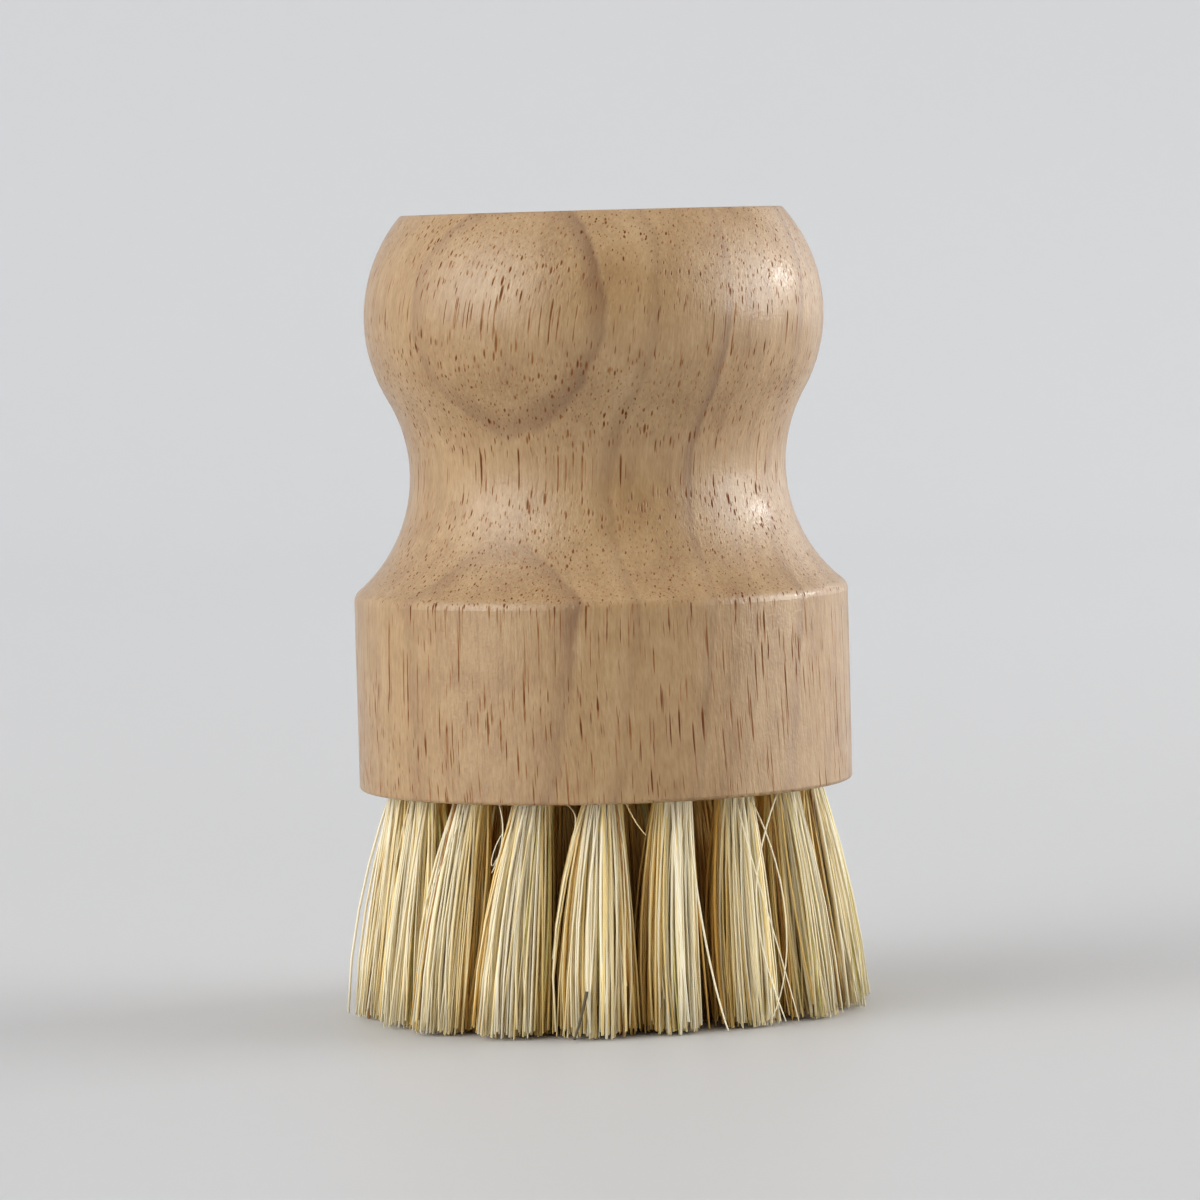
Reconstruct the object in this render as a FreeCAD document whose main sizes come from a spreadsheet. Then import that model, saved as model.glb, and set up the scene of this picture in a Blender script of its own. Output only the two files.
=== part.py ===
"""Dish brush: a turned wooden block with fibre tufts set in drilled holes, each held by a metal anchor.

Frame: millimetres, +Z up along the turning axis, origin under the middle of the trimmed fibre tips.
The block's drum carries a centre hole and three rings of holes. Every ring leans outwards a little more
than the one inside it, and each tuft, its hole and its anchor are drawn on the same leaning axis.
"""

import FreeCAD, Part
import math
import os

import Sketcher

# Driving dimensions: lengths in millimetres, angles in degrees.
DIMENSIONS = {
    # Turned block: heights from its flat underside, the crown's from the knob's widest line.
    "drum_diameter": 55.3,
    "drum_height": 21.8,
    "waist_diameter": 42.1,
    "knob_diameter": 51.4,
    "knob_height": 52.4,
    "knob_profile_radius": 17.6,
    "crown_height": 11.6,
    "base_round": 0.4,
    "shoulder_round": 1.5,
    "top_round": 0.5,
    # Drilled holes.
    "hole_diameter": 4.8,
    "hole_depth": 12.0,
    "drill_point_height": 1.4,
    "rim_margin": 3.05,
    "ring_phase": 8.0,
    # Fibre tufts.
    "tuft_free_length": 25.4,
    "tuft_clearance": 0.05,
    "tip_spread": 2.7,
    "flare_length": 16.0,
    "tuft_gap": 0.2,
    "fold_round": 1.6,
    # Flat wire anchors, driven in edge first across each hole.
    "anchor_width": 1.8,
    "anchor_thickness": 0.4,
    "anchor_bite": 0.7,
    "anchor_clearance": 0.02,
    "fold_height": 2.0,
    # How far every cut runs past the solid that it cuts.
    "cut_overrun": 3.0,
}

# Rings of tufts from the middle outwards: each ring has this many more tufts than the one inside it.
RING_NAMES = ("centre", "inner", "middle", "outer")
OUTER_RING = len(RING_NAMES) - 1
TUFTS_PER_RING_STEP = 6
FULL_TURN = 360.0

# An outline is first drawn around a unit circle. This share of a side's turn keeps its corners off both axes.
OUTLINE_START_SHARE = 1 / 3

# Sizes that follow from the driving ones, as expressions.
DRUM_RADIUS = "dims.drum_diameter / 2"
HOLE_RADIUS = "dims.hole_diameter / 2"
TUFT_RADIUS = f"({HOLE_RADIUS} - dims.tuft_clearance)"
OUTER_RING_RADIUS = f"({DRUM_RADIUS} - dims.rim_margin - {HOLE_RADIUS})"
CROWN = "dims.tuft_free_length + dims.knob_height + dims.crown_height"
TUFT_END = "-(dims.tuft_free_length + dims.cut_overrun)"
ANCHOR_TOP = "(dims.hole_depth - dims.fold_height)"
ANCHOR_LENGTH = "(dims.hole_diameter + 2 * dims.anchor_bite)"

# Sketcher's numbers for its two axes, the first of which starts at the origin, and for a line's or arc's
# two ends and centre.
H_AXIS, V_AXIS = range(-1, -3, -1)
ORIGIN = H_AXIS
START, END, CENTRE = range(1, 4)

doc = FreeCAD.newDocument("dish_brush")


def ring_radius(ring):
    """Radius of a ring's hole mouths on the block's underside."""
    return f"{ring} * {OUTER_RING_RADIUS} / {OUTER_RING}"


def ring_splay(ring):
    """Angle at which a ring's tufts lean outwards, from how far their tips travel over the free length."""
    return f"atan({ring} * dims.tip_spread / {OUTER_RING} / dims.tuft_free_length)"


def ring_count(ring):
    """Number of tufts in a ring: one in the middle, then six more for each ring outwards."""
    return max(1, TUFTS_PER_RING_STEP * ring)


def make_sheet():
    """Spreadsheet with one aliased cell for each driving dimension."""
    sheet = doc.addObject("Spreadsheet::Sheet", "dims")
    for row, (alias, value) in enumerate(DIMENSIONS.items(), start=1):
        sheet.set(f"A{row}", alias)
        sheet.set(f"B{row}", str(value))
        sheet.setAlias(f"B{row}", alias)
    doc.recompute()
    return sheet


def origin_feature(body, role):
    """One of a body's own origin planes or axes."""
    return next(item for item in body.Origin.OriginFeatures if item.Role == role)


def new_body(name):
    """Empty body, turned about Z to the phase of the tuft rings."""
    body = doc.addObject("PartDesign::Body", name)
    body.Label = name
    body.setExpression("Placement.Rotation.Angle", "dims.ring_phase")
    return body


def new_sketch(body, name, plane="XZ_Plane"):
    """Sketch on one of the body's origin planes."""
    sketch = body.newObject("Sketcher::SketchObject", name)
    sketch.AttachmentSupport = [(origin_feature(body, plane), "")]
    sketch.MapMode = "FlatFace"
    return sketch


def new_hole_sketch(body, name, ring):
    """Sketch in the radial plane whose origin is a hole's mouth and whose V axis runs up the leaning hole."""
    sketch = new_sketch(body, name)
    sketch.setExpression("AttachmentOffset.Base.x", ring_radius(ring))
    sketch.setExpression("AttachmentOffset.Base.y", "dims.tuft_free_length")
    sketch.setExpression("AttachmentOffset.Rotation.Angle", ring_splay(ring))
    return sketch


def pin_point(sketch, geometry, point, x, y):
    """Pins a point to the sketch's origin by expressions for x and y. None puts it on that axis."""
    drawn = sketch.getPoint(geometry, point)
    for kind, axis, expression, value in (("DistanceX", V_AXIS, x, drawn.x), ("DistanceY", H_AXIS, y, drawn.y)):
        if expression is None:
            sketch.addConstraint(Sketcher.Constraint("PointOnObject", geometry, point, axis))
            continue
        index = sketch.addConstraint(Sketcher.Constraint(kind, ORIGIN, START, geometry, point, value))
        sketch.setExpression(f"Constraints[{index}]", expression)


def draw_outline(sketch, corners):
    """Closed outline of straight lines through the corners, each pinned by its two expressions."""
    count = len(corners)
    turns = [2 * math.pi * (i + OUTLINE_START_SHARE) / count for i in range(count)]
    guesses = [FreeCAD.Vector(math.cos(turn), math.sin(turn), 0) for turn in turns]
    for i in range(count):
        sketch.addGeometry(Part.LineSegment(guesses[i], guesses[(i + 1) % count]))
    for i, (x, y) in enumerate(corners):
        sketch.addConstraint(Sketcher.Constraint("Coincident", i, START, (i - 1) % count, END))
        pin_point(sketch, i, START, x, y)


def revolve(body, kind, name, sketch):
    """Revolution or groove of a sketch through a full turn about its own V axis."""
    feature = body.newObject(f"PartDesign::{kind}", name)
    feature.Profile = sketch
    feature.ReferenceAxis = (sketch, ["V_Axis"])
    feature.Angle = FULL_TURN
    doc.recompute()
    return feature


def polar_pattern(body, name, originals, count):
    """Copies of the features spaced evenly about the turning axis."""
    if count == 1:
        return
    pattern = body.newObject("PartDesign::PolarPattern", name)
    pattern.Originals = originals
    pattern.Axis = (origin_feature(body, "Z_Axis"), [""])
    pattern.Angle = FULL_TURN
    pattern.Occurrences = count
    body.Tip = pattern
    doc.recompute()


def draw_anchor_section(sketch, clearance):
    """Cross-section of an anchor, or of the slot around it, set edgewise across the hole's axis."""
    half = f"(dims.anchor_thickness / 2 + {clearance})"
    low = f"({ANCHOR_TOP} - dims.anchor_width - {clearance})"
    high = f"({ANCHOR_TOP} + {clearance})"
    draw_outline(sketch, [(f"-{half}", low), (half, low), (half, high), (f"-{half}", high)])


def profile_arc(centre, start, end, radius):
    """Arc that runs anticlockwise from the direction of one point to the direction of another."""
    first = math.atan2(start.y - centre.y, start.x - centre.x)
    last = math.atan2(end.y - centre.y, end.x - centre.x)
    if last < first:
        last += 2 * math.pi
    return Part.ArcOfCircle(Part.Circle(centre, FreeCAD.Vector(0, 0, 1), radius), first, last)


def draw_block_profile(sketch, sheet):
    """Half profile of the turned block: straight drum, hollow waist and round knob with a flat top.

    The waist is one arc, tangent to the knob's arc, that starts at the drum's shoulder and just touches
    the waist diameter. Its centre and radius follow from those three conditions.
    """
    base = "dims.tuft_free_length"
    drum = sheet.drum_diameter / 2
    waist = sheet.waist_diameter / 2
    knob_centre = FreeCAD.Vector(
        sheet.knob_diameter / 2 - sheet.knob_profile_radius,
        sheet.tuft_free_length + sheet.knob_height,
        0,
    )
    underside = FreeCAD.Vector(0, sheet.tuft_free_length, 0)
    rim = FreeCAD.Vector(drum, underside.y, 0)
    shoulder = FreeCAD.Vector(drum, underside.y + sheet.drum_height, 0)
    crown = FreeCAD.Vector(0, knob_centre.y + sheet.crown_height, 0)
    reach = math.sqrt(sheet.knob_profile_radius**2 - sheet.crown_height**2)
    edge = FreeCAD.Vector(knob_centre.x + reach, crown.y, 0)
    # First guesses for the waist: half way up between shoulder and knob, as wide an arc as the knob's.
    waist_point = FreeCAD.Vector(waist, (shoulder.y + knob_centre.y) / 2, 0)
    waist_centre = waist_point + FreeCAD.Vector(sheet.knob_profile_radius, 0, 0)

    face_line, wall_line, waist_arc, knob_arc, top_line, axis_line = range(6)
    sketch.addGeometry(Part.LineSegment(underside, rim))
    sketch.addGeometry(Part.LineSegment(rim, shoulder))
    sketch.addGeometry(profile_arc(waist_centre, knob_centre, shoulder, sheet.knob_profile_radius))
    sketch.addGeometry(profile_arc(knob_centre, waist_centre, edge, sheet.knob_profile_radius))
    sketch.addGeometry(Part.LineSegment(edge, crown))
    sketch.addGeometry(Part.LineSegment(crown, underside))
    touch = sketch.addGeometry(Part.Point(waist_point))
    sketch.toggleConstruction(touch)
    # An arc always runs anticlockwise, so the waist arc starts at the neck and ends at the shoulder.
    joins = (
        (face_line, END, wall_line, START),
        (wall_line, END, waist_arc, END),
        (knob_arc, END, top_line, START),
        (top_line, END, axis_line, START),
        (axis_line, END, face_line, START),
    )
    for join in joins:
        sketch.addConstraint(Sketcher.Constraint("Coincident", *join))
    sketch.addConstraint(Sketcher.Constraint("Tangent", waist_arc, START, knob_arc, START))
    pin_point(sketch, face_line, START, None, base)
    pin_point(sketch, face_line, END, DRUM_RADIUS, base)
    pin_point(sketch, wall_line, END, DRUM_RADIUS, f"{base} + dims.drum_height")
    pin_point(sketch, axis_line, START, None, CROWN)
    sketch.addConstraint(Sketcher.Constraint("Horizontal", top_line))
    knob_x = "dims.knob_diameter / 2 - dims.knob_profile_radius"
    pin_point(sketch, knob_arc, CENTRE, knob_x, f"{base} + dims.knob_height")
    radius = sketch.addConstraint(Sketcher.Constraint("Radius", knob_arc, sheet.knob_profile_radius))
    sketch.setExpression(f"Constraints[{radius}]", "dims.knob_profile_radius")
    # The arc's leftmost point is level with its centre and lies on the waist diameter.
    sketch.addConstraint(Sketcher.Constraint("PointOnObject", touch, START, waist_arc))
    sketch.addConstraint(Sketcher.Constraint("Horizontal", touch, START, waist_arc, CENTRE))
    width = sketch.addConstraint(Sketcher.Constraint("DistanceX", ORIGIN, START, touch, START, waist))
    sketch.setExpression(f"Constraints[{width}]", "dims.waist_diameter / 2")


def round_edge(body, feature, name, height, radius):
    """Rounds a turned edge of the block, found as the circle nearest to that height."""
    circles = [
        (abs(edge.CenterOfMass.z - height), f"Edge{number}")
        for number, edge in enumerate(feature.Shape.Edges, start=1)
        if edge.Closed
    ]
    fillet = body.newObject("PartDesign::Fillet", name)
    fillet.Base = (feature, [min(circles)[1]])
    fillet.setExpression("Radius", radius)
    doc.recompute()
    return fillet


def make_block(sheet):
    """Turned block: revolved profile, rounded edges, then each ring of drilled holes and anchor slots."""
    body = new_body("handle_block")
    profile = new_sketch(body, "block_profile")
    draw_block_profile(profile, sheet)
    doc.recompute()
    feature = revolve(body, "Revolution", "turned_block", profile)
    base = sheet.tuft_free_length
    for name, height, radius in (
        ("base_edge", base, "dims.base_round"),
        ("shoulder_edge", base + sheet.drum_height, "dims.shoulder_round"),
        ("top_edge", base + sheet.knob_height + sheet.crown_height, "dims.top_round"),
    ):
        feature = round_edge(body, feature, name, height, radius)
    for ring, ring_name in enumerate(RING_NAMES):
        section = new_hole_sketch(body, f"{ring_name}_hole_section", ring)
        draw_outline(
            section,
            [
                (None, "-dims.cut_overrun"),
                (HOLE_RADIUS, "-dims.cut_overrun"),
                (HOLE_RADIUS, "dims.hole_depth"),
                (None, "dims.hole_depth + dims.drill_point_height"),
            ],
        )
        hole = revolve(body, "Groove", f"{ring_name}_hole", section)
        slot_section = new_hole_sketch(body, f"{ring_name}_slot_section", ring)
        draw_anchor_section(slot_section, "dims.anchor_clearance")
        slot = body.newObject("PartDesign::Pocket", f"{ring_name}_slot")
        slot.Profile = slot_section
        slot.SideType = "Symmetric"
        slot.setExpression("Length", f"{ANCHOR_LENGTH} + 2 * dims.anchor_clearance")
        doc.recompute()
        polar_pattern(body, f"{ring_name}_holes", [hole, slot], ring_count(ring))
    return body


def spread_radius(length):
    """Radius at which tufts just clear each other at a length below the mouths, from the rings' spacing there."""
    outer = f"({OUTER_RING_RADIUS} + dims.tip_spread * {length} / dims.tuft_free_length)"
    return f"({outer} / {OUTER_RING} - dims.tuft_gap) / 2"


def draw_tuft_section(sketch):
    """Half section of a tuft: shank in the hole, a flare until it meets its neighbours, then alongside them."""
    draw_outline(
        sketch,
        [
            (None, TUFT_END),
            (spread_radius("dims.tuft_free_length"), TUFT_END),
            (spread_radius("dims.tuft_free_length"), "-dims.tuft_free_length"),
            (spread_radius("dims.flare_length"), "-dims.flare_length"),
            (TUFT_RADIUS, None),
            (TUFT_RADIUS, "dims.hole_depth"),
            (None, "dims.hole_depth"),
        ],
    )


def make_tuft(name, ring, position):
    """One tuft: revolved section, rounded at the fold, slotted for its anchor and trimmed flat at the tips."""
    body = new_body(name)
    turn = f"dims.ring_phase + {position} * {FULL_TURN} / {ring_count(ring)}"
    body.setExpression("Placement.Rotation.Angle", turn)
    section = new_hole_sketch(body, f"{name}_section", ring)
    draw_tuft_section(section)
    bundle = revolve(body, "Revolution", f"{name}_bundle", section)
    fold = body.newObject("PartDesign::Fillet", f"{name}_fold")
    tops = [(edge.CenterOfMass.z, f"Edge{i}") for i, edge in enumerate(bundle.Shape.Edges, start=1)
            if edge.Closed]
    fold.Base = (bundle, [max(tops)[1]])
    fold.setExpression("Radius", "dims.fold_round")
    doc.recompute()
    slot_section = new_hole_sketch(body, f"{name}_slot_section", ring)
    draw_anchor_section(slot_section, "dims.anchor_clearance")
    slot = body.newObject("PartDesign::Pocket", f"{name}_slot")
    slot.Profile = slot_section
    slot.SideType = "Symmetric"
    slot.setExpression("Length", f"{ANCHOR_LENGTH} + 2 * dims.anchor_clearance")
    trim_section = new_sketch(body, f"{name}_trim_section", "XY_Plane")
    disc = Part.Circle(FreeCAD.Vector(0, 0, 0), FreeCAD.Vector(0, 0, 1), 1.0)
    trim_section.addGeometry(disc)
    trim_section.addConstraint(Sketcher.Constraint("Coincident", 0, CENTRE, ORIGIN, START))
    reach = trim_section.addConstraint(Sketcher.Constraint("Radius", 0, 1.0))
    trim_section.setExpression(f"Constraints[{reach}]", "dims.drum_diameter")
    trim = body.newObject("PartDesign::Pocket", f"{name}_trim")
    trim.Profile = trim_section
    trim.Type = "ThroughAll"
    doc.recompute()
    return body


def make_anchors(name, ring):
    """The anchors of one ring: a short flat strip across each hole, its ends biting into the wood."""
    body = new_body(name)
    section = new_hole_sketch(body, f"{name}_section", ring)
    draw_anchor_section(section, "0")
    strip = body.newObject("PartDesign::Pad", f"{name}_strip")
    strip.Profile = section
    strip.SideType = "Symmetric"
    strip.setExpression("Length", ANCHOR_LENGTH)
    doc.recompute()
    polar_pattern(body, f"{name}_ring", [strip], ring_count(ring))
    return body


def check_document(bodies):
    """Stops if any object failed to compute or any sub-part has no valid shape."""
    for item in doc.Objects:
        if {"Invalid", "Error"} & set(item.State):
            raise RuntimeError(f"{item.Label} failed: {item.State}")
    for body in bodies:
        if body.Shape.isNull() or not body.Shape.isValid():
            raise RuntimeError(f"{body.Label} has no valid shape")


def main():
    sheet = make_sheet()
    bodies = [make_block(sheet)]
    for ring, ring_name in enumerate(RING_NAMES):
        count = ring_count(ring)
        for position in range(count):
            name = f"{ring_name}_tuft" if count == 1 else f"{ring_name}_tuft_{position + 1:02d}"
            bodies.append(make_tuft(name, ring, position))
        bodies.append(make_anchors(f"{ring_name}_anchor" if count == 1 else f"{ring_name}_anchors", ring))
    doc.recompute()
    check_document(bodies)
    os.makedirs("parts", exist_ok=True)
    for body in bodies:
        body.Shape.exportStep(f"parts/{body.Label}.step")


main()
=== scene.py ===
"""Looks of the dish brush: a turned rubberwood block, 37 tufts of sisal and the steel anchors that hold them."""

import math

import bpy
import numpy as np
from mathutils import Matrix


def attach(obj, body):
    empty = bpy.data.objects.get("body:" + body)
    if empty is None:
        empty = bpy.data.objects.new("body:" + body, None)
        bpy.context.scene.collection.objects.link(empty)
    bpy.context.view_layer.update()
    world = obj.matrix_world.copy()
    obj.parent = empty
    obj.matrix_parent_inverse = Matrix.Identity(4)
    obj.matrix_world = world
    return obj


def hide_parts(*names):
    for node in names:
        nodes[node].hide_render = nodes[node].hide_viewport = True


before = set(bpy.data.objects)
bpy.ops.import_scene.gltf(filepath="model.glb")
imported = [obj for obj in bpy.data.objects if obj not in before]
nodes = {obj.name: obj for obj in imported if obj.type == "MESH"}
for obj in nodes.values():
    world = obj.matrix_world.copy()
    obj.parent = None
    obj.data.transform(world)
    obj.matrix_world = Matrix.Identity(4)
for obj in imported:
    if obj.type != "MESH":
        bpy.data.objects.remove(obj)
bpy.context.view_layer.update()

MM = 0.001
GOLDEN_ANGLE = math.pi * (3 - math.sqrt(5))

# The brush, in millimetres, as the solids have it: the mouths of the holes lie in the drum's lower face.
MOUTH_HEIGHT = 25.4
RING_PITCH = 7.4
RING_COUNTS = (1, 6, 12, 18)
RING_NAMES = ("centre", "inner", "middle", "outer")
RING_TURN = math.radians(8)
SPREAD_STEP = 0.9
MOUTH_RADIUS = 2.1
TIP_RADIUS = 3.7
MIDDLE_HEIGHT = 45
STRANDS = (150, 160, 190, 290)
# Tufts of the outer ring that stand askew, by place in the ring: how far their cut ends lie to the right, less than
# nothing being to the left, and how wide they open against the others.
ASKEW = {11: (-1.7, 0.95), 12: (-1.9, 1.05), 13: (-1.1, 1.1), 14: (-1.3, 0.85), 15: (-0.9, 0.85)}


def linear(code):
    """An sRGB hex colour as linear RGBA: a channel c becomes c / 12.92, or above 0.04 it becomes
    ((c + 0.055) / 1.055) ** 2.4."""
    c = np.array([int(code[k:k + 2], 16) for k in (1, 3, 5)]) / 255
    return (*np.where(c <= 0.04045, c / 12.92, ((c + 0.055) / 1.055) ** 2.4).tolist(), 1.0)


def add(tree, kind, inputs=None, **settings):
    """Adds a node with its settings; an input given a node or a socket is linked, any other input is set."""
    made = tree.nodes.new("ShaderNode" + kind)
    for name, value in settings.items():
        setattr(made, name, value)
    for socket, value in (inputs or {}).items():
        if isinstance(value, bpy.types.Node):
            value = value.outputs[0]
        if isinstance(value, bpy.types.NodeSocket):
            tree.links.new(value, made.inputs[socket])
        else:
            made.inputs[socket].default_value = value
    return made


def add_ramp(tree, value, stops):
    """Adds a colour ramp read at value, with stops as (place, hex colour) from low to high."""
    made = add(tree, "ValToRGB", {"Fac": value})
    points = made.color_ramp.elements
    while len(points) < len(stops):
        points.new(1.0)
    for point, (place, code) in zip(points, stops):
        point.position = place
        point.color = linear(code)
    return made


def new_material(name):
    """A material with nothing but its Principled shader and its output."""
    material = bpy.data.materials.new(name)
    material.use_nodes = True
    return material, material.node_tree, material.node_tree.nodes["Principled BSDF"]


def add_piece(name, points, faces, material, **shades):
    """Puts points (metres), four-cornered faces and one number per point for each shade into a new smooth mesh."""
    mesh = bpy.data.meshes.new(name)
    mesh.from_pydata(points.reshape(-1, 3).tolist(), [], faces.tolist())
    for shade, values in shades.items():
        mesh.attributes.new(shade, "FLOAT", "POINT").data.foreach_set("value", values.ravel())
    mesh.polygons.foreach_set("use_smooth", np.ones(len(mesh.polygons), dtype=bool))
    mesh.materials.append(material)
    piece = bpy.data.objects.new(name, mesh)
    bpy.context.scene.collection.objects.link(piece)
    return piece


# The wood, in millimetres. The grain stands upright at one height, bows away from it and leans to the front.
GRAIN_UPRIGHT_AT = 44.0
GRAIN_BOW = -0.0024
GRAIN_LEAN = 1 / 25
# The heart of the tree: a point on it, and how far it moves for each step up.
HEART = (-23.8, -45.1, 55.0)
HEART_SLANT = (0.136, 0.017, 1.0)
# Growth rings are drawn from one distance to another from the heart, and waver by up to this much in all.
RINGS_FROM = 20
RINGS_SPAN = 60
RING_WAVER = 2.2
# A late edge starts to darken, is darkest and has gone, counted from its distance outward.
LATE_START, LATE_PEAK, LATE_END = -1.8, -0.15, 0.25
# Late edges of the growth rings: distance from the heart in millimetres, and how dark they are, as a grey.
LATE_EDGES = ((28.6, "#f0f0f0"), (34.1, "#b0b0b0"), (42.4, "#e0e0e0"), (48.1, "#909090"), (54.8, "#d0d0d0"),
              (62.0, "#a0a0a0"), (68.5, "#d0d0d0"), (75.5, "#b0b0b0"))
# Two sets of pores: the size of a cell in millimetres, the least and most reach of its pore in cells, and its
# depth.
PORES = ((0.82, 0.07, 0.19, 1.0), (0.5, 0.06, 0.19, 0.8))


def rubberwood():
    """Rubberwood, turned along the grain, sanded and dipped in satin lacquer.

    It gives the eye a pale tan with wide faint growth rings, open rusty pores that show as streaks along the grain
    and as dots where the turned curve cuts across it, and a soft skin of lacquer that pales the edges."""
    material, tree, shader = new_material("rubberwood")
    place = add(tree, "TexCoord").outputs["Object"]
    mm = add(tree, "VectorMath", {0: place, "Scale": 1000}, operation="SCALE")

    # The grain bows: it stands upright 44 mm up and leans more and more to the right above. It leans 1 in 25 to the
    # front, and wanders by about 1 mm over 40 mm and by 0.15 mm over 9 mm.
    level = add(tree, "SeparateXYZ", {0: mm}).outputs["Z"]
    above = add(tree, "Math", {0: level, 1: GRAIN_UPRIGHT_AT}, operation="SUBTRACT")
    bow = add(tree, "Math", {0: above, 1: above}, operation="MULTIPLY")
    bow = add(tree, "Math", {0: bow, 1: GRAIN_BOW}, operation="MULTIPLY")
    lean = add(tree, "Math", {0: level, 1: GRAIN_LEAN}, operation="MULTIPLY")
    bow = add(tree, "CombineXYZ", {0: bow, 1: lean})
    grain = add(tree, "VectorMath", {0: mm, 1: bow}, operation="ADD")
    for span, reach in ((40, 3.0), (9, 0.5)):
        drift = add(tree, "TexNoise", {"Vector": mm, "Scale": 1 / span, "Detail": 0.0}).outputs["Color"]
        drift = add(tree, "VectorMath", {0: drift, 1: (0.5, 0.5, 0.5)}, operation="SUBTRACT")
        drift = add(tree, "VectorMath", {0: drift, 1: (reach, reach, 0)}, operation="MULTIPLY")
        grain = add(tree, "VectorMath", {0: grain, 1: drift}, operation="ADD")

    # Growth rings about a heart 51 mm away, in front to the left, that leans 1 in 7 to the right. Each ring darkens
    # towards its late edge, which is sharp on the side away from the heart. The edges waver by 0.4 mm, come and go,
    # and fade out towards the left.
    from_heart = add(tree, "VectorMath", {0: mm, 1: HEART}, operation="SUBTRACT")
    above = add(tree, "SeparateXYZ", {0: from_heart}).outputs["Z"]
    back = tuple(-step for step in HEART_SLANT)
    slant = add(tree, "VectorMath", {0: back, "Scale": above}, operation="SCALE")
    from_heart = add(tree, "VectorMath", {0: from_heart, 1: slant}, operation="ADD")
    outward = add(tree, "VectorMath", {0: from_heart}, operation="LENGTH").outputs["Value"]
    waver = add(tree, "TexNoise", {"Vector": mm, "Scale": 1 / 7, "Detail": 4.0})
    ring = add(tree, "Math", {0: waver, 1: RING_WAVER, 2: outward}, operation="MULTIPLY_ADD")
    inmost = -(RINGS_FROM + RING_WAVER / 2) / RINGS_SPAN
    in_ring = add(tree, "Math", {0: ring, 1: 1 / RINGS_SPAN, 2: inmost}, operation="MULTIPLY_ADD")
    late = add_ramp(tree, in_ring, [
        ((edge - RINGS_FROM + step) / RINGS_SPAN, shade)
        for edge, code in LATE_EDGES
        for step, shade in ((LATE_START, "#000000"), (LATE_PEAK, code), (LATE_END, "#000000"))])
    fade = add(tree, "TexNoise", {"Vector": mm, "Scale": 1 / 14, "Detail": 1.0})
    fade = add(tree, "MapRange", {"Value": fade, "From Min": 0.35, "From Max": 0.65, "To Min": 0.4})
    late = add(tree, "Math", {0: late, 1: fade}, operation="MULTIPLY")
    aside = add(tree, "SeparateXYZ", {0: mm}).outputs["X"]
    fade = add(tree, "MapRange", {"Value": aside, "From Min": -22.0, "From Max": -8.0, "To Min": 0.35})
    late = add(tree, "Math", {0: late, 1: fade}, operation="MULTIPLY")

    # Tone: wide bands that follow the rings, fibre 0.5 mm wide along the grain, slow mottling, and flecks of
    # 0.2 by 1 mm.
    band = add(tree, "Math", {0: ring, 1: 1 / 6}, operation="MULTIPLY")
    band = add(tree, "TexNoise", {"W": band, "Scale": 1.0, "Detail": 2.0}, noise_dimensions="1D")
    long_grain = add(tree, "VectorMath", {0: grain, 1: (1 / 0.5, 1 / 0.5, 1 / 12)}, operation="MULTIPLY")
    fibre = add(tree, "TexNoise", {"Vector": long_grain, "Scale": 1.0, "Detail": 3.0, "Roughness": 0.6})
    mottle = add(tree, "TexNoise", {"Vector": mm, "Scale": 1 / 4, "Detail": 2.0})
    short_grain = add(tree, "VectorMath", {0: grain, 1: (1 / 0.22, 1 / 0.22, 1 / 1.1)}, operation="MULTIPLY")
    fleck = add(tree, "TexNoise", {"Vector": short_grain, "Scale": 1.0, "Detail": 1.0})
    tone = add(tree, "Math", {0: band, 1: 0.5, 2: -0.45}, operation="MULTIPLY_ADD")
    for part, share in ((fibre, 0.45), (mottle, 0.5), (fleck, 0.45)):
        tone = add(tree, "Math", {0: part, 1: share, 2: tone}, operation="MULTIPLY_ADD")
    colour = add_ramp(tree, tone, [(0.2, "#ba9a70"), (0.5, "#a9875b"), (0.8, "#926e46")])
    colour = add(tree, "Mix", {"Factor": late, "A": colour, "B": linear("#7a5739")}, data_type="RGBA")
    colour = colour.outputs["Result"]

    # Pores: vessels that run with the grain, one to each cell somewhat under a millimetre across. They swell and
    # shrink every 5 mm, and are open and dark for about 2 mm at a time.
    broken = add(tree, "VectorMath", {0: grain, 1: (1 / 0.8, 1 / 0.8, 1 / 2.2)}, operation="MULTIPLY")
    broken = add(tree, "TexNoise", {"Vector": broken, "Scale": 1.0, "Detail": 1.0})
    broken = add(tree, "MapRange", {"Value": broken, "From Min": 0.35, "From Max": 0.55, "To Min": 0.55})
    pore = None
    for cell_size, least, most, depth in PORES:
        cells = add(tree, "VectorMath", {0: grain, "Scale": 1 / cell_size}, operation="SCALE")
        cell = add(tree, "TexVoronoi", {"Vector": cells, "Scale": 1.0}, voronoi_dimensions="2D")
        chance = add(tree, "SeparateColor", {0: cell.outputs["Color"]}).outputs[0]
        reach = add(tree, "MapRange", {"Value": chance, "To Min": least, "To Max": most})
        swell = add(tree, "VectorMath", {0: grain, 1: (1 / 1.2, 1 / 1.2, 1 / 5)}, operation="MULTIPLY")
        swell = add(tree, "TexNoise", {"Vector": swell, "Scale": 1.0, "Detail": 1.0})
        swell = add(tree, "MapRange", {"Value": swell, "From Min": 0.3, "From Max": 0.7,
                                       "To Min": 0.6, "To Max": 1.2})
        reach = add(tree, "Math", {0: reach, 1: swell}, operation="MULTIPLY")
        inside = add(tree, "Math", {0: cell.outputs["Distance"], 1: reach}, operation="DIVIDE")
        inside = add(tree, "MapRange", {"Value": inside, "From Min": 1.1, "From Max": 0.6, "To Max": depth})
        pore = inside if pore is None else add(tree, "Math", {0: pore, 1: inside}, operation="MAXIMUM")
    patch = add(tree, "TexNoise", {"Vector": mm, "Scale": 1 / 9, "Detail": 1.0})
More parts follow.
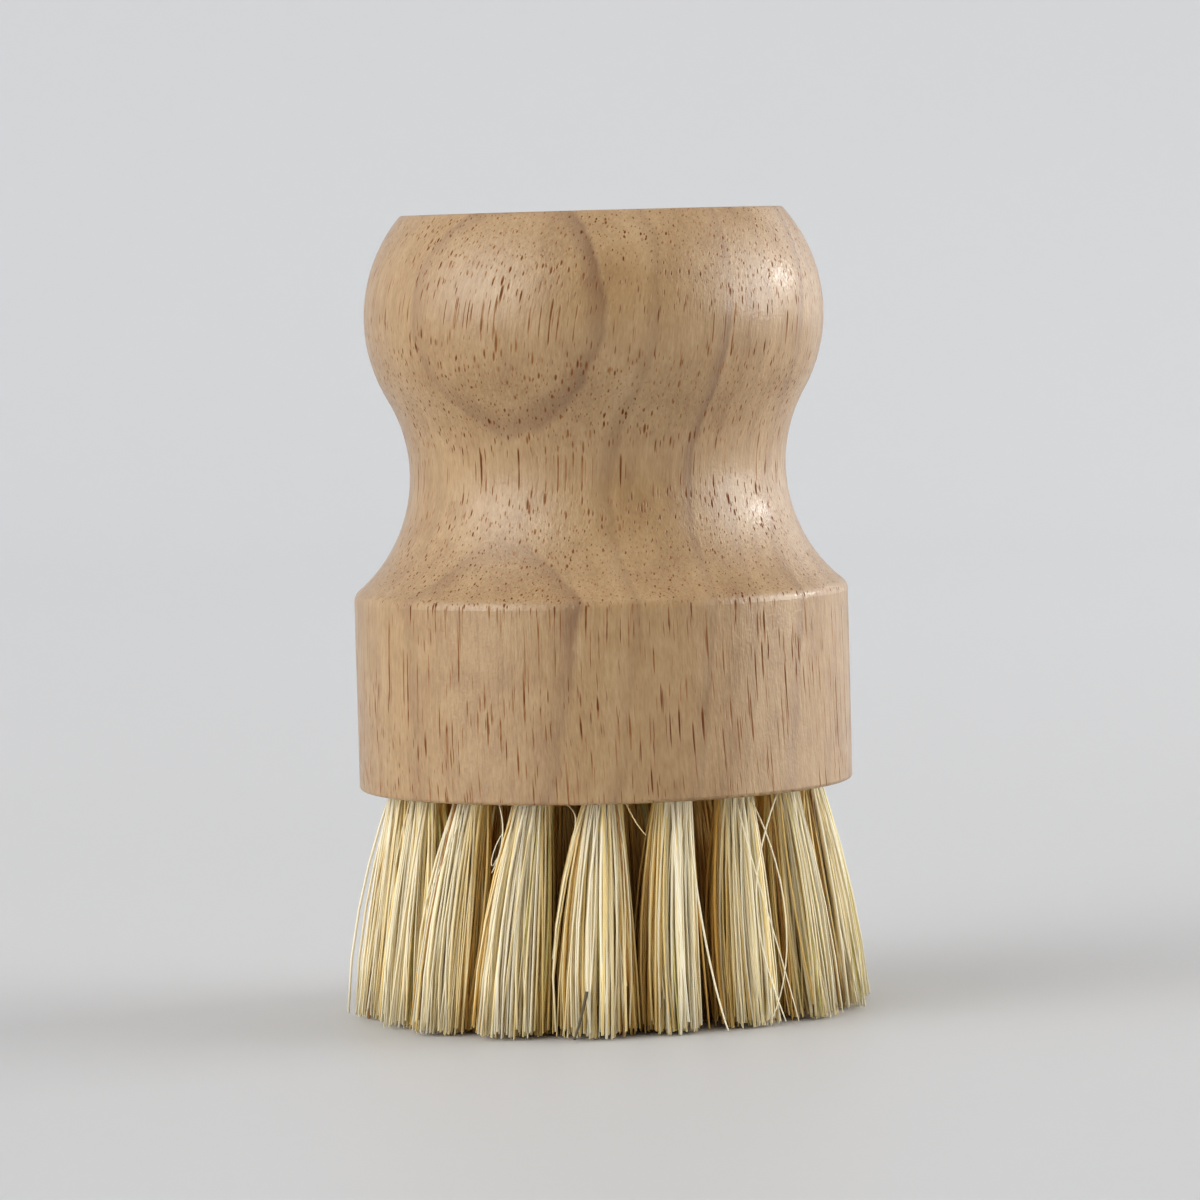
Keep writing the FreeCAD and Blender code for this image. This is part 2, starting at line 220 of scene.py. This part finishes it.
    patch = add(tree, "MapRange", {"Value": patch, "From Min": 0.35, "From Max": 0.6, "To Min": 0.7})
    pore = add(tree, "Math", {0: pore, 1: patch}, operation="MULTIPLY")
    pore = add(tree, "Math", {0: pore, 1: broken}, operation="MULTIPLY")
    rust = add_ramp(tree, pore, [(0.2, "#a05a28"), (0.9, "#5c2606")])
    stain = add(tree, "Math", {0: pore, 1: 0.95}, operation="MULTIPLY")
    colour = add(tree, "Mix", {"Factor": stain, "A": colour, "B": rust}, data_type="RGBA")
    tree.links.new(colour.outputs["Result"], shader.inputs["Base Color"])

    # The lacquer sinks into the pores, which stay dull, and leaves the fibre just felt under its own fine ripple.
    ripple = add(tree, "TexNoise", {"Vector": mm, "Scale": 1 / 0.4, "Detail": 1.0})
    relief = add(tree, "Math", {0: fleck, 1: 0.6, 2: fibre}, operation="MULTIPLY_ADD")
    relief = add(tree, "Math", {0: ripple, 1: 0.6, 2: relief}, operation="MULTIPLY_ADD")
    relief = add(tree, "Math", {0: pore, 1: -1.0, 2: relief}, operation="MULTIPLY_ADD")
    bump = add(tree, "Bump", {"Height": relief, "Distance": 0.08 * MM, "Strength": 0.6})
    tree.links.new(bump.outputs[0], shader.inputs["Normal"])
    tree.links.new(bump.outputs[0], shader.inputs["Coat Normal"])
    dull = add(tree, "MapRange", {"Value": fibre, "To Min": 0.42, "To Max": 0.55})
    tree.links.new(dull.outputs[0], shader.inputs["Roughness"])
    for socket, most in (("Coat Weight", 0.55), ("Specular IOR Level", 0.5)):
        gloss = add(tree, "MapRange", {"Value": pore, "From Max": 0.7, "To Min": most, "To Max": 0.05})
        tree.links.new(gloss.outputs[0], shader.inputs[socket])
    shader.inputs["Coat Roughness"].default_value = 0.16
    return material


def sisal():
    """Sisal, strands combed from an agave leaf, dried and cut, not dyed.

    It gives the eye a dry, slightly waxy cream to straw, with a few golden, greenish and brown strands, and each
    strand is striped along its length. Strands that lie deep in the brush are also coloured golden, as painted
    shade."""
    material, tree, shader = new_material("sisal")
    tone = add(tree, "Attribute", attribute_name="strand_tone").outputs["Fac"]
    place = add(tree, "TexCoord").outputs["Object"]
    # Stripes along the strand, about 0.15 mm wide and 6 mm long.
    stripes = add(tree, "VectorMath", {0: place, 1: (1 / 0.15e-3, 1 / 0.15e-3, 1 / 6e-3)}, operation="MULTIPLY")
    stripes = add(tree, "TexNoise", {"Vector": stripes, "Scale": 1.0, "Detail": 2.0})
    shade = add(tree, "Math", {0: stripes, 1: 0.16, 2: tone}, operation="MULTIPLY_ADD")
    colour = add_ramp(tree, shade, [(0.0, "#f6eed6"), (0.25, "#f8ecc8"), (0.5, "#f7db92"), (0.75, "#e8b75e"),
                                    (0.84, "#d8d084"), (0.93, "#a87840"), (1.0, "#5a5038")])
    tree.links.new(colour.outputs["Color"], shader.inputs["Base Color"])
    waxy = add(tree, "MapRange", {"Value": stripes, "To Min": 0.4, "To Max": 0.65})
    tree.links.new(waxy.outputs[0], shader.inputs["Roughness"])
    shader.inputs["Specular IOR Level"].default_value = 0.25
    return material


def stainless_wire():
    """Stainless steel wire, drawn and rolled flat: grey, bright, with fine drawing lines along it."""
    material, tree, shader = new_material("stainless_wire")
    place = add(tree, "TexCoord").outputs["Object"]
    # Drawing lines 0.05 mm apart are too fine to show, so they are drawn 0.2 mm apart.
    lines = add(tree, "VectorMath", {0: place, 1: (1 / 2e-3, 1 / 2e-3, 1 / 0.2e-3)}, operation="MULTIPLY")
    lines = add(tree, "TexNoise", {"Vector": lines, "Scale": 1.0, "Detail": 2.0})
    colour = add_ramp(tree, lines, [(0.3, "#a9a9a6"), (0.7, "#c4c4c0")])
    tree.links.new(colour.outputs["Color"], shader.inputs["Base Color"])
    gloss = add(tree, "MapRange", {"Value": lines, "To Min": 0.25, "To Max": 0.4})
    tree.links.new(gloss.outputs[0], shader.inputs["Roughness"])
    shader.inputs["Metallic"].default_value = 1.0
    return material


def studio_paper():
    """Matt white studio paper: pale, with a faint tooth. Painted light: it is coloured a little paler and cooler
    towards the back, in place of the light that falls more on the back of the sheet.
    """
    material, tree, shader = new_material("studio_paper")
    place = add(tree, "TexCoord").outputs["Object"]
    tooth = add(tree, "TexNoise", {"Vector": place, "Scale": 1 / 0.004, "Detail": 2.0})
    # Painted light: the colour pales towards the back of the sheet.
    back = add(tree, "SeparateXYZ", {0: place}).outputs["Y"]
    back = add(tree, "MapRange", {"Value": back, "From Min": 0.2, "From Max": 1.0, "To Max": 0.8})
    shade = add(tree, "Math", {0: tooth, 1: 0.2, 2: back}, operation="MULTIPLY_ADD")
    colour = add_ramp(tree, shade, [(0.0, "#c7c7c7"), (1.0, "#cccdcf")])
    tree.links.new(colour.outputs["Color"], shader.inputs["Base Color"])
    shader.inputs["Roughness"].default_value = 0.5
    shader.inputs["Specular IOR Level"].default_value = 0.4
    return material


def strand_faces(strands, steps, sides):
    """Faces of closed strands: a wall face joins corners k and k + 1 of step j to those of step j + 1, and a face
    closes each end."""
    ids = np.arange(strands * steps * sides).reshape(strands, steps, sides)
    following = np.roll(ids, -1, axis=2)
    walls = np.stack([ids[:, :-1], following[:, :-1], following[:, 1:], ids[:, 1:]], axis=-1)
    return np.concatenate([walls.reshape(-1, 4), ids[:, 0, ::-1], ids[:, -1]])


def strand_surface(paths, widths, flatness, turns, axis_u, axis_v):
    """Surface of many strands: corner k of a step is the path point plus half the width along axis_u times
    cos(turn + k quarter turns) and along axis_v times sin of the same, with every second corner drawn in by
    flatness."""
    corner = turns[:, None] + np.arange(4) * math.pi / 2
    reach = 0.5 * widths[:, :, None] * np.where(np.arange(4) % 2, flatness[:, None], 1.0)[:, None, :]
    u = (reach * np.cos(corner)[:, None, :])[..., None] * axis_u
    v = (reach * np.sin(corner)[:, None, :])[..., None] * axis_v
    return paths[:, :, None, :] + u + v


# Strands, in millimetres. Wisps of a tuft lean together, its strands lean on their own, and some stray.
WISPS = 16
WISP_LEAN = 0.3
STRAND_LEAN = 0.4
STRAY_SHARE = 0.05
STRAY_LEAN = 1.4
STRAND_BOW = 0.3
FLARE_POWER = 1.7
# The cut: the least height of an end above the floor, how unevenly it is cut, and the share that ends higher up.
CUT_HEIGHT = 0.12
CUT_UNEVEN = 0.7
SHORT_SHARE = 0.07
SHORT_BY = (1, 5)
STRAND_WIDTH = 0.3
LEAST_WIDTH, MOST_WIDTH = 0.18, 0.48
# Tone of a strand, from 0 pale to 1 dark. Painted shade: strands deep in the outer ring and in the rings behind it
# are coloured golden, and more so near the cut, in place of the warm shade between strands. A few strands are
# greenish, and fewer are brown.
SHADE_DEEP_OUTER = 0.42
SHADE_DEEP_BEHIND = 0.6
SHADE_AT_CUT = 0.4
MOST_GOLDEN = 0.66
GREENISH_SHARE, GREENISH_TONE = 0.03, 0.76
BROWN_SHARE, BROWN_TONE = 0.01, 0.85


def tuft(name, ring, index, strands, seed, material):
    """One tuft: strands leave the mouth of a hole spread like sunflower seeds, closer at the rim, and open out
    towards the cut.

    Across the tuft a strand stands at root + (tip - root) * (1 - (1 - t) ** FLARE_POWER) + bow * 4 t (1 - t), for
    t from 0 at the mouth to 1 at its cut end. Strands share a lean with the wisp they belong to, and a few
    stray."""
    chance = np.random.default_rng(seed)
    around = RING_TURN + 2 * math.pi * index / RING_COUNTS[ring]
    splay = math.atan(SPREAD_STEP * ring / MOUTH_HEIGHT)
    out = np.array([math.cos(around), math.sin(around), 0])
    axis = out * math.sin(splay) - np.array([0, 0, math.cos(splay)])
    axis_u = out * math.cos(splay) + np.array([0, 0, math.sin(splay)])
    axis_v = np.cross(axis, axis_u)
    mouth = out * RING_PITCH * ring + np.array([0, 0, MOUTH_HEIGHT])

    seeds = np.arange(strands) + 0.5
    spot = ((seeds / strands) ** 0.4)[:, None]
    turn = seeds * GOLDEN_ANGLE + chance.normal(0, 0.15, strands)
    facing = np.stack([np.cos(turn), np.sin(turn)], axis=1)
    root = MOUTH_RADIUS * spot * facing
    wisp = chance.integers(0, WISPS, strands)
    lean = chance.normal(0, WISP_LEAN, (WISPS, 2))[wisp] + chance.normal(0, STRAND_LEAN, (strands, 2))
    stray = chance.random(strands) < STRAY_SHARE
    lean = lean + stray[:, None] * np.clip(chance.normal(0, STRAY_LEAN, (strands, 2)), -STRAY_LEAN, STRAY_LEAN)
    askew, opening = ASKEW.get(index, (0.0, 1.0)) if RING_NAMES[ring] == "outer" else (0.0, 1.0)
    tip = TIP_RADIUS * opening * spot * facing + lean + askew * np.array([axis_u[0], axis_v[0]])
    bow = chance.normal(0, STRAND_BOW, (strands, 2))

    short = chance.random(strands)
    cut = CUT_HEIGHT + np.abs(chance.normal(0, CUT_UNEVEN, strands))
    cut = cut + np.where(short < SHORT_SHARE, chance.uniform(*SHORT_BY, strands), 0)
    length = (MOUTH_HEIGHT - cut + tip[:, 0] * math.sin(splay)) / math.cos(splay)
    t = np.array([-0.14, 0.0, 0.16, 0.34, 0.54, 0.76, 1.0])
    open_t = np.clip(t, 0, 1)
    flare = 1 - (1 - open_t) ** FLARE_POWER
    swing = 4 * open_t * (1 - open_t)
    across = root[:, None] + (tip - root)[:, None] * flare[:, None] + bow[:, None] * swing[:, None]
    paths = (mouth + across[..., :1] * axis_u + across[..., 1:] * axis_v
             + (t * length[:, None])[..., None] * axis)

    width = np.clip(chance.lognormal(math.log(STRAND_WIDTH), 0.25, strands), LEAST_WIDTH, MOST_WIDTH)
    taper = 1 - (1 - chance.uniform(0.65, 1.0, strands))[:, None] * open_t
    points = strand_surface(paths, width[:, None] * taper, chance.uniform(0.55, 0.95, strands),
                            chance.uniform(0, math.pi, strands), axis_u, axis_v)
    # Painted shade: strands are pale on the outer side of the brush and coloured golden where they lie deep in it,
    # most of all near the cut, in place of the shade that falls between them.
    painted_shade = SHADE_DEEP_OUTER * (1 - spot * facing[:, :1]) if RING_NAMES[ring] == "outer" else SHADE_DEEP_BEHIND
    tone = chance.normal(0.05, 0.1, strands)[:, None] + painted_shade * (1 + SHADE_AT_CUT * open_t ** 3)
    odd = chance.random(strands)[:, None]
    tone = np.where(odd < GREENISH_SHARE + BROWN_SHARE, BROWN_TONE, np.clip(tone, 0, MOST_GOLDEN))
    tone = np.where(odd < GREENISH_SHARE, GREENISH_TONE, tone)
    piece = add_piece(name + "_strands", points * MM, strand_faces(strands, len(t), 4), material,
                      strand_tone=np.broadcast_to(tone[..., None], points.shape[:3]).copy())
    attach(piece, "root")
    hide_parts(name)


# Loose strands in front of the tufts, in millimetres: four corners of the curve, width and tone.
LOOSE = (
    (((-12.2, -23.0, 26.0), (-11.3, -24.5, 23.5), (-11.5, -25.5, 21.0), (-13.0, -26.0, 18.2)), 0.16, 0.1),
    (((-11.6, -24.5, 22.5), (-13.2, -25.5, 20.5), (-13.4, -26.0, 17.5), (-12.4, -26.0, 19.8)), 0.15, 0.1),
    (((-5.6, -23.0, 25.8), (-2.0, -25.0, 23.6), (-4.4, -25.6, 24.4), (-6.7, -27.0, 8.8)), 0.24, 0.25),
    (((-15.6, -18.6, 25.3), (-17.8, -20.8, 19.5), (-19.3, -21.5, 17.0), (-20.4, -22.0, 14.6)), 0.2, 0.15),
    (((1.6, -24.0, 25.6), (2.2, -24.8, 24.0), (3.0, -25.2, 22.6), (3.8, -25.4, 21.8)), 0.18, 0.35),
    (((13.9, -21.5, 24.5), (15.2, -23.5, 18.0), (17.5, -24.0, 11.0), (19.9, -24.5, 0.9)), 0.26, 0.1),
    (((18.2, -19.0, 25.0), (15.0, -22.5, 17.0), (14.5, -24.0, 12.0), (18.4, -26.0, 1.2)), 0.27, 0.08),
    (((15.2, -18.6, 25.3), (19.5, -21.0, 17.0), (20.0, -23.5, 7.0), (16.8, -24.5, 1.0)), 0.22, 0.15),
    (((8.4, -21.8, 25.2), (8.8, -24.2, 15.0), (10.6, -26.6, 5.0), (12.1, -27.2, 0.5)), 0.26, 0.1),
    (((-3.1, -28.7, 5.4), (-3.5, -29.0, 3.6), (-4.0, -29.2, 1.8), (-4.6, -29.4, 0.3)), 0.58, 1.0),
)


def loose_strands(material):
    """Strands that have worked loose in front: each follows a cubic curve, (1 - t) ** 3 A + 3 t (1 - t) ** 2 B +
    3 t ** 2 (1 - t) C + t ** 3 D for t from 0 to 1, with the corners A to D in LOOSE."""
    corners = np.array([strand[0] for strand in LOOSE], dtype=float)
    width = np.array([strand[1] for strand in LOOSE])
    tone = np.array([strand[2] for strand in LOOSE])
    t = np.linspace(0, 1, 15)
    share = np.stack([(1 - t) ** 3, 3 * t * (1 - t) ** 2, 3 * t ** 2 * (1 - t), t ** 3], axis=1)
    paths = np.einsum("tk,skx->stx", share, corners)
    taper = 1 - 0.3 * t[None, :]
    flat = np.full(len(LOOSE), 0.7)
    points = strand_surface(paths, width[:, None] * taper, flat, np.arange(len(LOOSE)) * 0.8,
                            np.array([1.0, 0, 0]), np.array([0, -1.0, 0]))
    piece = add_piece("loose_strands", points * MM, strand_faces(len(LOOSE), len(t), 4), material,
                      strand_tone=np.broadcast_to(tone[:, None, None], points.shape[:3]).copy())
    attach(piece, "root")


# The paper sheet, in metres: how far it reaches to the front, sideways and up, and where and how it turns up.
SHEET_REACH = 3.0
BEND_START = 0.9
BEND_RADIUS = 0.7


def sweep(material):
    """Floor and backdrop in one sheet: the profile runs level, turns up through a quarter circle and goes on
    straight, and is carried sideways."""
    bend = np.linspace(0, math.pi / 2, 24)
    level = np.stack([np.linspace(-SHEET_REACH, BEND_START, 12)[:-1], np.zeros(11)], axis=1)
    curve = np.stack([BEND_START + BEND_RADIUS * np.sin(bend), BEND_RADIUS - BEND_RADIUS * np.cos(bend)], axis=1)
    upright = np.stack([np.full(6, BEND_START + BEND_RADIUS), np.linspace(BEND_RADIUS, SHEET_REACH, 7)[1:]], axis=1)
    profile = np.concatenate([level, curve, upright])
    side = np.linspace(-SHEET_REACH, SHEET_REACH, 9)
    points = np.empty((len(profile), len(side), 3))
    points[..., 0] = side
    points[..., 1:] = profile[:, None]
    ids = np.arange(points[..., 0].size).reshape(points.shape[:2])
    faces = np.stack([ids[:-1, :-1], ids[:-1, 1:], ids[1:, 1:], ids[1:, :-1]], axis=-1).reshape(-1, 4)
    add_piece("paper_sweep", points, faces, material)


def area_lamp(name, towards, distance, size, watts):
    """A soft white square lamp at distance along the direction towards, turned to face the middle of the brush."""
    towards = np.array(towards) / np.linalg.norm(towards)
    lamp = bpy.data.lights.new(name, "AREA")
    lamp.shape = "SQUARE"
    lamp.size = size
    lamp.energy = watts
    holder = bpy.data.objects.new(name, lamp)
    bpy.context.scene.collection.objects.link(holder)
    aim = np.array([0, 0, MIDDLE_HEIGHT * MM])
    right = np.cross([0, 0, 1], towards)
    right /= np.linalg.norm(right)
    turned = Matrix(np.stack([right, np.cross(towards, right), towards], axis=1).tolist()).to_4x4()
    turned.translation = (aim + towards * distance).tolist()
    holder.matrix_world = turned


# The camera of the photo: its place in millimetres, its pan, downward tilt and roll in degrees, and its lens and
# frame in millimetres.
CAMERA_PLACE = (-9.4, -671.3, 86.0)
CAMERA_TURN = (0.79, 3.42, 1.55)
LENS = 180
LENS_FRAME = 36


def camera():
    """The camera of the photo, about as high as the knob's top, looking slightly down and held a little askew."""
    pan, tilt, roll = (math.radians(a) for a in CAMERA_TURN)
    ahead = np.array([math.sin(pan) * math.cos(tilt), math.cos(pan) * math.cos(tilt), -math.sin(tilt)])
    right = np.array([math.cos(pan), -math.sin(pan), 0])
    up = np.cross(right, ahead)
    right, up = (math.cos(roll) * right - math.sin(roll) * up, math.sin(roll) * right + math.cos(roll) * up)
    lens = bpy.data.cameras.new("camera")
    lens.lens, lens.sensor_width, lens.sensor_height = LENS, LENS_FRAME, LENS_FRAME
    holder = bpy.data.objects.new("camera", lens)
    bpy.context.scene.collection.objects.link(holder)
    turned = Matrix(np.stack([right, up, -ahead], axis=1).tolist()).to_4x4()
    turned.translation = [along * MM for along in CAMERA_PLACE]
    holder.matrix_world = turned
    bpy.context.scene.camera = holder


# Panels of the tent: direction from the brush, how tightly the light gathers about it, and its level.
TENT = (((-1, -0.1, 0.3), 4.0, 1.15), ((-0.8, -0.5, 0.36), 10.0, 4.5), ((0.97, -0.03, 0.18), 10.0, 6.0),
        ((0.92, 0.3, 0.15), 12.0, 1.1), ((0, 0, 1), 4.0, 1.0))

def studio():
    """A bright tent: light falls off from the middle of each panel as a power of the cosine of the angle to it.

    A small lamp at the right, a little behind, gives the sharp glints, and a wide one behind it the pale right
    edges."""
    scene = bpy.context.scene
    scene.view_settings.view_transform = "Standard"
    scene.world = bpy.data.worlds.new("tent")
    scene.world.use_nodes = True
    tree = scene.world.node_tree
    sky = tree.nodes["Background"]
    sky.inputs["Color"].default_value = linear("#ffffff")
    way = add(tree, "TexCoord").outputs["Generated"]
    light = None
    for panel, power, level in TENT:
        facing = (np.array(panel) / np.linalg.norm(panel)).tolist()
        glow = add(tree, "VectorMath", {0: way, 1: facing}, operation="DOT_PRODUCT").outputs["Value"]
        glow = add(tree, "Math", {0: glow, 1: 0.0}, operation="MAXIMUM")
        glow = add(tree, "Math", {0: glow, 1: power}, operation="POWER")
        below = 0.0 if light is None else light
        light = add(tree, "Math", {0: glow, 1: level, 2: below}, operation="MULTIPLY_ADD")
    tree.links.new(light.outputs[0], sky.inputs["Strength"])
    area_lamp("right_lamp", (0.9, 0.37, 0.26), 1.0, 0.12, 0.9)
    area_lamp("back_lamp", (0.7, 0.71, 0.24), 1.2, 0.7, 1.6)


wood, fibre, steel = rubberwood(), sisal(), stainless_wire()
for name, material in (("handle_block", wood), ("centre_anchor", steel), ("inner_anchors", steel),
                       ("middle_anchors", steel), ("outer_anchors", steel)):
    for slot in nodes[name].material_slots:
        slot.material = material

for ring, count in enumerate(RING_COUNTS):
    for index in range(count):
        node = RING_NAMES[ring] + "_tuft" + ("" if count == 1 else f"_{index + 1:02d}")
        tuft(node, ring, index, STRANDS[ring], 1000 * ring + index, fibre)

loose_strands(fibre)
sweep(studio_paper())
camera()
studio()
